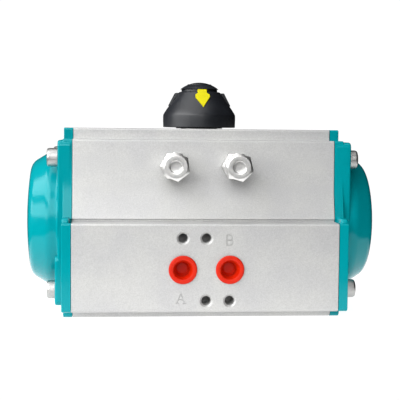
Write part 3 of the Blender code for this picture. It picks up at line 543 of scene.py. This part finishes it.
def make_body(finishes):
    shell = rounded(prism(body_outline(), -BODY_HALF_LENGTH, BODY_HALF_LENGTH, "X"), 0.3 * MM, 2, 60)
    over = BODY_HALF_LENGTH + 2 * MM
    bore_rings = [(BORE_RADIUS, -over), (BORE_RADIUS, over)]
    bore = moved(ringed(bore_rings, 96, axis="X"), (0, 0, BORE_HEIGHT))
    bottom_rings = [
        (16.9 * MM, -1 * MM),
        (16.3 * MM, 0.6 * MM),
        (16.3 * MM, 7.7 * MM),
        (18.3 * MM, 7.7 * MM),
        (18.3 * MM, 22 * MM),
    ]
    bottom = ringed(bottom_rings, 96)
    shaft_rings = [
        (10.6 * MM, 86 * MM),
        (10.6 * MM, BODY_HEIGHT - 0.5 * MM),
        (11.6 * MM, BODY_HEIGHT + 0.5 * MM),
    ]
    top = ringed(shaft_rings, 64)
    stops = [(side * STOP_X, -STOP_FACE, STOP_HEIGHT) for side in (-1, 1)]
    stop_rings = [(6.3 * MM, -4 * MM), (6.3 * MM, 1.5 * MM), (4.3 * MM, 1.5 * MM), (4.3 * MM, 20 * MM)]
    ports = [(side * PORT_X, -PORT_FACE, PORT_HEIGHT) for side in (-1, 1)]
    port_rings = [(7.6 * MM, -1 * MM), (6.6 * MM, 0.2 * MM), (6.6 * MM, 13 * MM)]
    valve_places = []
    for side, rise in ((-1, 1), (0, 1), (0, -1), (1, -1)):
        valve_places.append((side * PORT_X, -PORT_FACE, PORT_HEIGHT + rise * VALVE_RISE))
    top_places = [(sx * 40 * MM, sy * 15 * MM, BODY_HEIGHT) for sx in (-1, 1) for sy in (-1, 1)]
    top_rings = [(radius, -depth) for radius, depth in countersunk(M5_CORE, 8 * MM, 0.5 * MM)]
    cutters = [
        bore,
        bottom,
        top,
        at_places(stops, stop_rings, "Y"),
        at_places(ports, port_rings, "Y", 64),
        at_places(valve_places, threaded(VALVE_HOLE_CORE, 12 * MM, 0.95 * MM, M5_PITCH), "Y"),
        at_places(top_places, top_rings, "Z"),
        at_places(on_circle(25 * MM), threaded(M6_CORE, 9 * MM, 0.5 * MM, M6_PITCH), "Z"),
        at_places(on_circle(35 * MM), threaded(M8_CORE, 12 * MM, 0.5 * MM, M8_PITCH), "Z"),
    ]
    cutters += engraved_letter("A", -14.8 * MM, 10.9 * MM, 3.9 * MM)
    cutters += engraved_letter("B", 9.7 * MM, 40.5 * MM, 4.0 * MM)
    form = combined(shell, cutters)
    finish = finishes["blasted_aluminium"]
    piece("body_shell", form, finish, "housing", ["body"], smooth=28)


def dome_rings():
    """The dome's curved side, rounded edge and shallow crown, as (radius, distance along X)."""
    side_start = 79.0 * MM
    side_radius = 7.5 * MM
    side_turn = math.radians(34)
    slope_end = Vector((32.2 * MM, 88.75 * MM))
    crown_edge = Vector((27.6 * MM, CAP_END - 2.0 * MM))
    corner = Vector((30.4 * MM, CAP_END - 2.4 * MM))
    rings = [(38.0 * MM, 75.9 * MM), (37.3 * MM, 76.3 * MM), (36.95 * MM, 77.0 * MM)]
    for index in range(9):
        angle = side_turn * index / 8
        radius = DOME_RADIUS - side_radius * (1 - math.cos(angle))
        rings.append((radius, side_start + side_radius * math.sin(angle)))
    for index in range(9):
        t = index / 8
        place = (1 - t) ** 2 * slope_end + 2 * t * (1 - t) * corner + t * t * crown_edge
        rings.append((place.x, place.y))
    sag = CAP_END - crown_edge.y
    crown = (crown_edge.x**2 + sag**2) / (2 * sag)
    whole = math.asin(crown_edge.x / crown)
    for index in range(1, 12):
        angle = whole * (1 - index / 12)
        rings.append((crown * math.sin(angle), CAP_END - crown * (1 - math.cos(angle))))
    return rings


def rounded_box(left, right, low, high, radius, steps=6):
    """A rectangle with round corners; each is given by its place, its arc's start and the way inward."""
    corners = (
        (right, low, -90, -1, 1),
        (right, high, 0, -1, -1),
        (left, high, 90, 1, -1),
        (left, low, 180, 1, 1),
    )
    points = []
    for across, up, start, inward, rise in corners:
        centre = (across + inward * radius, up + rise * radius)
        points += arc(centre, radius, start, start + 90, steps)
    return points


def make_end_cap(side, word, finishes):
    """A die-cast cap: base layer, plate with raised screw bosses, and a shallow dome."""
    base = prism(body_outline(), CAP_INNER, CAP_BASE_OUTER, "X")
    base = rounded(base, 1.6 * MM, 5, 50, CAP_BASE_OUTER - 0.1 * MM)
    half = CAP_PLATE_HALF_WIDTH

    def slab(left, right, low, high, reach):
        """Part of the plate, rounded where it ends."""
        form = prism(rounded_box(left, right, low, high, 3 * MM), CAP_INNER + 1 * MM, reach, "X")
        return rounded(form, 1.0 * MM, 4, 50, reach - 0.1 * MM)

    parts = [slab(-half, half, CAP_PLATE_BOTTOM, CAP_PLATE_TOP, CAP_PLATE_OUTER)]
    raised = (50 * MM, CAP_PLATE_TOP) if side > 0 else (CAP_PLATE_BOTTOM, 33 * MM)
    parts.append(slab(BOSS_NEAR_SIDE, half, *raised, BOSS_OUTER))
    parts.append(slab(-half, -BOSS_NEAR_SIDE, *raised, BOSS_OUTER))
    bead_outline = rounded_box(-51.8 * MM, -36 * MM, 46 * MM, 53.8 * MM, 2 * MM)
    bead = prism(bead_outline, 69.4 * MM, CAP_BASE_OUTER, "X")
    parts.append(rounded(bead, 1.1 * MM, 4, 50))
    dome = ringed([(36 * MM, CAP_INNER + 1.5 * MM), *dome_rings()], 128, axis="X")
    moved(dome, (0, 0, BORE_HEIGHT))
    solid = combined(base, [*parts, dome], "UNION")
    screw_rings = [
        (3.3 * MM, SCREW_SEAT - 3 * MM),
        (3.3 * MM, SCREW_SEAT),
        (5.4 * MM, SCREW_SEAT),
        (5.4 * MM, 88 * MM),
    ]
    places = [(0, across * SCREW_Y, height) for across in (-1, 1) for height in SCREW_HEIGHTS]
    form = sided(combined(solid, [at_places(places, screw_rings, "X")]), side)
    finish = finishes["teal_paint"]
    piece(f"end_cap_{word}_casting", form, finish, "housing", [f"end_cap_{word}"], smooth=40)


def make_cap_screws(finishes):
    """Socket-head screws with knurled heads, all of one shape."""
    number = 0
    finish = finishes["screw_steel"]
    socket = polygon(6, 5 * MM)

    def knurl(radius):
        return lambda angle: radius + 0.035 * MM * math.cos(48 * angle)

    under = SCREW_SEAT + 0.3 * MM
    rings = [
        (3 * MM, BODY_HALF_LENGTH + 1 * MM),
        (3 * MM, under),
        (4.6 * MM, under),
        (knurl(4.8 * MM), under + 0.3 * MM),
        (knurl(4.8 * MM), SCREW_HEAD_OUTER - 1.3 * MM),
        (4.78 * MM, SCREW_HEAD_OUTER - 1.0 * MM),
        (4.65 * MM, SCREW_HEAD_OUTER - 0.5 * MM),
        (4.4 * MM, SCREW_HEAD_OUTER - 0.15 * MM),
        (4.0 * MM, SCREW_HEAD_OUTER),
        (3.2 * MM, SCREW_HEAD_OUTER),
        (socket, SCREW_HEAD_OUTER - 0.35 * MM),
        (socket, SCREW_HEAD_OUTER - 3 * MM),
        (1 * MM, SCREW_HEAD_OUTER - 3.6 * MM),
    ]
    for side in (-1, 1):
        for across in (-1, 1):
            for height in SCREW_HEIGHTS:
                number += 1
                form = sided(ringed(rings, 192, axis="X"), side)
                place = (0, across * SCREW_Y, height)
                node = f"cap_screw_{number}"
                piece(f"{node}_detail", form, finish, "housing", [node], place)


def make_port_plugs(finishes):
    """Flanged transport plugs with a stepped recess."""
    rings = [
        (3.4 * MM, -7.9 * MM),
        (5.7 * MM, -8.0 * MM),
        (6.2 * MM, -7.0 * MM),
        (6.2 * MM, 0.3 * MM),
        (7.0 * MM, 0.3 * MM),
        *arc((7.0 * MM, 0.6 * MM), 0.3 * MM, -60, 60, 4),
        (6.9 * MM, 1.12 * MM),
        (6.4 * MM, 1.2 * MM),
        (5.5 * MM, 1.2 * MM),
        (5.05 * MM, 1.05 * MM),
        (4.75 * MM, 0.6 * MM),
        (4.6 * MM, -0.6 * MM),
        (4.1 * MM, -1.4 * MM),
        (3.75 * MM, -1.9 * MM),
        (3.5 * MM, -6.2 * MM),
        (2.6 * MM, -6.9 * MM),
    ]
    for side, word in ((-1, "a"), (1, "b")):
        form = ringed(rings, 96, axis="-Y")
        place = (side * PORT_X, -PORT_FACE, PORT_HEIGHT)
        node = f"port_plug_{word}"
        piece(f"{node}_detail", form, finishes["red_plastic"], "housing", [node], place)


def hexagon_rings(across_flats, flat_radius, low, high, chamfered_low):
    """Rings of a hexagon whose corners are cut by cones at one or both ends."""
    hexagon = polygon(6, across_flats, math.pi / 6)
    corner = across_flats / math.sqrt(3)
    slope = 0.5
    steps = 5
    rings = []
    heights = [(corner - flat_radius) * slope * index / steps for index in range(steps + 1)]
    if chamfered_low:
        rings += [(smaller(hexagon, circle(flat_radius + h / slope)), low + h) for h in heights]
    else:
        rings.append((hexagon, low))
    rings += [(smaller(hexagon, circle(flat_radius + h / slope)), high - h) for h in heights[::-1]]
    return rings


def thread_surface(radius, pitch, low, high):
    """Rings of a helical thread, each point's radius following the helix."""
    rings = []
    depth = 0.495 * pitch
    count = max(2, round((high - low) / pitch * 8))
    for index in range(count + 1):
        height = low + (high - low) * index / count

        def reach(angle, height=height):
            phase = (height / pitch - angle / TAU) % 1.0
            return radius - depth * abs(2 * phase - 1)

        rings.append((reach, height))
    return rings


def make_stops(finishes):
    """The stop bolts and their lock nuts, chamfered, with the bolts' threads showing between them."""
    head_inner = 51.4 * MM
    head_outer = -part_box("stop_bolt_left")[0][1] + AXIS_Y
    turn = math.radians(22)
    finish = finishes["bright_steel"]
    for side, word in ((-1, "left"), (1, "right")):
        place = (side * STOP_X, 0, STOP_HEIGHT)
        rings = [(2.4 * MM, 14.3 * MM), (3 * MM, 14.9 * MM), (3 * MM, 17.5 * MM), (3.4 * MM, 18.3 * MM)]
        rings += thread_surface(4 * MM, M8_PITCH, 19 * MM, 50.4 * MM)
        rings += [(3.9 * MM, 50.9 * MM), (3.9 * MM, head_inner), (6.2 * MM, head_inner)]
        rings += hexagon_rings(HEXAGON_ACROSS, 5.75 * MM, head_inner, head_outer - 0.05 * MM, False)
        rings += [
            (5.6 * MM, head_outer),
            (3.7 * MM, head_outer),
            (3.3 * MM, head_outer - 0.12 * MM),
            (3.0 * MM, head_outer - 0.45 * MM),
            (2.6 * MM, head_outer - 0.55 * MM),
            (1.0 * MM, head_outer - 0.6 * MM),
        ]
        bolt = ringed(rings, 96, axis="-Y")
        spun = turn if side < 0 else turn - math.radians(6)
        bmesh.ops.rotate(bolt, matrix=Matrix.Rotation(spun, 3, "Y"), verts=bolt.verts, cent=(0, 0, 0))
        node = f"stop_bolt_{word}"
        piece(f"{node}_detail", bolt, finish, f"{word}_stop", [node], place, smooth=25)
        nut_rings = [(4.4 * MM, 37.95 * MM)]
        nut_rings += hexagon_rings(HEXAGON_ACROSS, 5.95 * MM, 37.95 * MM, 44 * MM, True)
        nut_rings += [(4.9 * MM, 44 * MM), (4.35 * MM, 43.5 * MM)]
        nut = ringed(nut_rings, 96, through=True, axis="-Y")
        node = f"stop_nut_{word}"
        piece(f"{node}_detail", nut, finish, "housing", [node], place, smooth=25)


def cone_frame(height, facing):
    """The middle of the indicator's cone at a height, and its normal, climb and sideways directions."""
    across = CONE_LOW[0] - CONE_HIGH[0]
    up = CONE_HIGH[1] - CONE_LOW[1]
    radius = CONE_LOW[0] - across * (height - CONE_LOW[1]) / up
    outward = Vector((math.cos(facing), math.sin(facing), 0))
    climb = (Vector((0, 0, up)) - outward * across).normalized()
    side = outward.cross(Vector((0, 0, -1))).normalized()
    normal = (outward * up + Vector((0, 0, across))).normalized()
    return outward * radius + Vector((0, 0, height)), normal, climb, side


def on_cone(form, facing, height=115.8 * MM):
    """Lays a form drawn in (across, up, out) on the cone's face."""
    middle, normal, climb, side = cone_frame(height, facing)
    for vert in form.verts:
        across, up, depth = vert.co
        vert.co = middle + side * across + climb * up + normal * depth
    return form


def arrow_outline(grow=0.0):
    """An arrow that points down, drawn larger by about this much all round."""
    tail = 2.5 * MM + grow
    wide = 3.9 * MM + grow
    right = [
        (wide, 1.0 * MM - grow / 2),
        (wide, 2.7 * MM + grow),
        (tail, 3.6 * MM + grow),
        (tail, 6.1 * MM + grow),
    ]
    return [(-x, y) for x, y in right[::-1]] + [(0, -5.7 * MM - 1.6 * grow)] + right


def make_indicator(finishes):
    """The black dome with its pockets, inserts and cap."""
    rings = [
        (15.5 * MM, 104.2 * MM),
        (15.5 * MM, INDICATOR_BOTTOM),
        (19.6 * MM, INDICATOR_BOTTOM),
        (19.9 * MM, INDICATOR_BOTTOM + 0.3 * MM),
        (20 * MM, 104 * MM),
        (20 * MM, 106.7 * MM),
        (19.92 * MM, 107.1 * MM),
        (19.7 * MM, 107.6 * MM),
        (19.3 * MM, 108.3 * MM),
        (18.75 * MM, 109.15 * MM),
        CONE_LOW,
        CONE_HIGH,
        (11.45 * MM, 119.55 * MM),
        (11.1 * MM, 119.75 * MM),
        (9.9 * MM, 119.9 * MM),
        (9.9 * MM, 121.0 * MM),
        (3.3 * MM, 121.0 * MM),
        (3.3 * MM, 119.8 * MM),
        (9.3 * MM, 119.8 * MM),
        (9.3 * MM, 104.9 * MM),
        (14 * MM, 104.9 * MM),
    ]
    cutters = []
    yellow = finishes["yellow_plastic"]
    black = finishes["black_plastic"]
    for word, facing in (("front", -90), ("back", 90)):
        angle = math.radians(facing)
        cutters.append(on_cone(prism(arrow_outline(0.15 * MM), -1.2 * MM, 4 * MM), angle))
        low = rounded(prism(arrow_outline(), -1.0 * MM, 0.5 * MM), 0.25 * MM, 2, 40)
        arrow = with_shaft(on_cone(low, angle))
        node = f"arrow_insert_{word}"
        piece(f"arrow_{word}_detail", arrow, yellow, "output_shaft", [node])
    outline = [
        (15.5 * MM, 112.1 * MM),
        (17.1 * MM, 112.1 * MM),
        (13.4 * MM, 119.2 * MM),
        (10.5 * MM, 119.2 * MM),
    ]
    grown = [
        (15.2 * MM, 111.9 * MM),
        (17.8 * MM, 111.9 * MM),
        (14.4 * MM, 119.6 * MM),
        (10.2 * MM, 119.6 * MM),
    ]
    for word, facing in (("left", 180), ("right", 0)):
        turn = Matrix.Rotation(math.radians(facing), 3, "Z")
        blank = rounded(prism(outline, -3.3 * MM, 3.3 * MM, "Y"), 0.3 * MM, 2, 30)
        pocket = prism(grown, -3.5 * MM, 3.5 * MM, "Y")
        bmesh.ops.rotate(blank, matrix=turn, verts=blank.verts, cent=(0, 0, 0))
        bmesh.ops.rotate(pocket, matrix=turn, verts=pocket.verts, cent=(0, 0, 0))
        cutters.append(pocket)
        node = f"blank_insert_{word}"
        blank = with_shaft(blank)
        piece(f"blank_{word}_detail", blank, black, "output_shaft", [node])
    base = with_shaft(combined(ringed(rings, 128, through=True), cutters))
    piece("indicator_base_detail", base, black, "output_shaft", ["indicator_base"])
    radius = 10.6 * MM
    rise = INDICATOR_TOP - 121.3 * MM
    crown = (radius**2 + rise**2) / (2 * rise)
    half = math.asin(radius / crown)
    cap_rings = [(6.6 * MM, 124 * MM), (6.6 * MM, 121.4 * MM), (10.2 * MM, 121.3 * MM)]
    for index in range(18):
        angle = half * (1 - index / 18)
        cap_rings.append((crown * math.sin(angle), INDICATOR_TOP - crown * (1 - math.cos(angle))))
    cap = with_shaft(ringed(cap_rings, 96))
    piece("indicator_cap_detail", cap, black, "output_shaft", ["indicator_cap"])


def finish_frame_nodes(finishes):
    """Gives every CAD node that stays its procedural material."""
    for sub in frame["record"]["subparts"]:
        node = frame["nodes"][sub["node"]]
        node.data.materials.clear()
        node.data.materials.append(finishes[sub["material_slot"]])


# Surroundings -------------------------------------------------------------------------------------

FLOOR_RADIUS = 0.2


def make_camera():
    """The camera stands a little left of the shaft and looks slightly down."""
    place = Vector((-47.81 * MM, -561.57 * MM + AXIS_Y, 97.56 * MM))
    yaw = 0.0866
    pitch = -0.0666
    roll = 0.0097
    forward = Vector((math.sin(yaw) * math.cos(pitch), math.cos(yaw) * math.cos(pitch), math.sin(pitch)))
    right = Vector((math.cos(yaw), -math.sin(yaw), 0))
    up = right.cross(forward)
    level_right = math.cos(roll) * right + math.sin(roll) * up
    level_up = -math.sin(roll) * right + math.cos(roll) * up
    camera = bpy.data.cameras.new("camera")
    camera.lens = 91.12
    camera.sensor_width = 36
    camera.clip_start = 0.01
    holder = bpy.data.objects.new("camera", camera)
    basis = Matrix((level_right, level_up, -forward)).transposed().to_4x4()
    holder.matrix_world = Matrix.Translation(place) @ basis
    bpy.context.scene.collection.objects.link(holder)
    bpy.context.scene.camera = holder


def make_light(name, place, target, size, radiance):
    """A rectangular soft box of a width, height and radiance, looking at a point."""
    lamp = bpy.data.lights.new(name, "AREA")
    lamp.shape = "RECTANGLE"
    lamp.size, lamp.size_y = size
    lamp.energy = radiance * math.pi * size[0] * size[1]
    holder = bpy.data.objects.new(name, lamp)
    holder.location = place
    aim = Vector(target) - Vector(place)
    holder.rotation_euler = aim.to_track_quat("-Z", "Y").to_euler()
    bpy.context.scene.collection.objects.link(holder)


def make_world():
    """A surround that looks white to the camera, and lights the object from its left more than its right."""
    world = bpy.data.worlds.new("studio")
    world.use_nodes = True
    nodes = world.node_tree.nodes
    links = world.node_tree.links
    lit = nodes["Background"]
    shown = nodes.new("ShaderNodeBackground")
    shown.inputs["Color"].default_value = (1, 1, 1, 1)
    shown.inputs["Strength"].default_value = 1.05
    split = nodes.new("ShaderNodeSeparateXYZ")
    links.new(nodes.new("ShaderNodeTexCoord").outputs["Generated"], split.inputs["Vector"])

    def ranged(axis, start, end, low, high):
        graded = nodes.new("ShaderNodeMapRange")
        for socket, value in (("From Min", start), ("From Max", end), ("To Min", low), ("To Max", high)):
            graded.inputs[socket].default_value = value
        links.new(split.outputs[axis], graded.inputs["Value"])
        return graded.outputs["Result"]

    total = nodes.new("ShaderNodeMath")
    total.operation = "MULTIPLY"
    links.new(ranged("X", -0.9, 0.7, 0.9, 0.05), total.inputs[0])
    links.new(ranged("Z", -0.4, 0.0, 0.2, 1.0), total.inputs[1])
    links.new(total.outputs["Value"], lit.inputs["Strength"])
    mix = nodes.new("ShaderNodeMixShader")
    links.new(nodes.new("ShaderNodeLightPath").outputs["Is Camera Ray"], mix.inputs["Fac"])
    links.new(lit.outputs["Background"], mix.inputs[1])
    links.new(shown.outputs["Background"], mix.inputs[2])
    links.new(mix.outputs["Shader"], nodes["World Output"].inputs["Surface"])
    bpy.context.scene.world = world


def make_floor():
    """A small self-lit disc of paper, about as white as the surround."""
    form = bmesh.new()
    bmesh.ops.create_circle(form, cap_ends=True, segments=96, radius=FLOOR_RADIUS)
    floor = loose(form)
    floor.name = "floor"
    paper = bpy.data.materials.new("pale_floor")
    paper.use_nodes = True
    shader = paper.node_tree.nodes["Principled BSDF"]
    shader.inputs["Base Color"].default_value = (0.4, 0.4, 0.4, 1)
    shader.inputs["Roughness"].default_value = 0.9
    shader.inputs["Specular IOR Level"].default_value = 0.1
    shader.inputs["Emission Color"].default_value = (1, 1, 1, 1)
    shader.inputs["Emission Strength"].default_value = 0.95
    floor.data.materials.append(paper)
    floor.location.z = -0.0002


def make_studio():
    bpy.context.scene.view_settings.view_transform = "Standard"
    make_world()
    make_floor()
    middle = (0, 0, 0.05)
    make_light("left_low_panel", (-0.95, -0.42, 0.25), middle, (1.2, 0.29), 5.5)
    make_light("left_high_panel", (-0.7, -0.3, 0.72), middle, (1.1, 0.5), 5.5)
    make_light("front_panel", (-0.24, -1.1, 0.52), middle, (1.05, 0.6), 4.2)
    make_light("top", (-0.2, -0.25, 1.2), middle, (1.0, 1.1), 2.0)


def build():
    finishes = make_finishes()
    finish_frame_nodes(finishes)
    make_camera()
    make_studio()
    make_body(finishes)
    for side, word in ((-1, "left"), (1, "right")):
        make_end_cap(side, word, finishes)
    make_cap_screws(finishes)
    make_port_plugs(finishes)
    make_stops(finishes)
    make_indicator(finishes)


build()
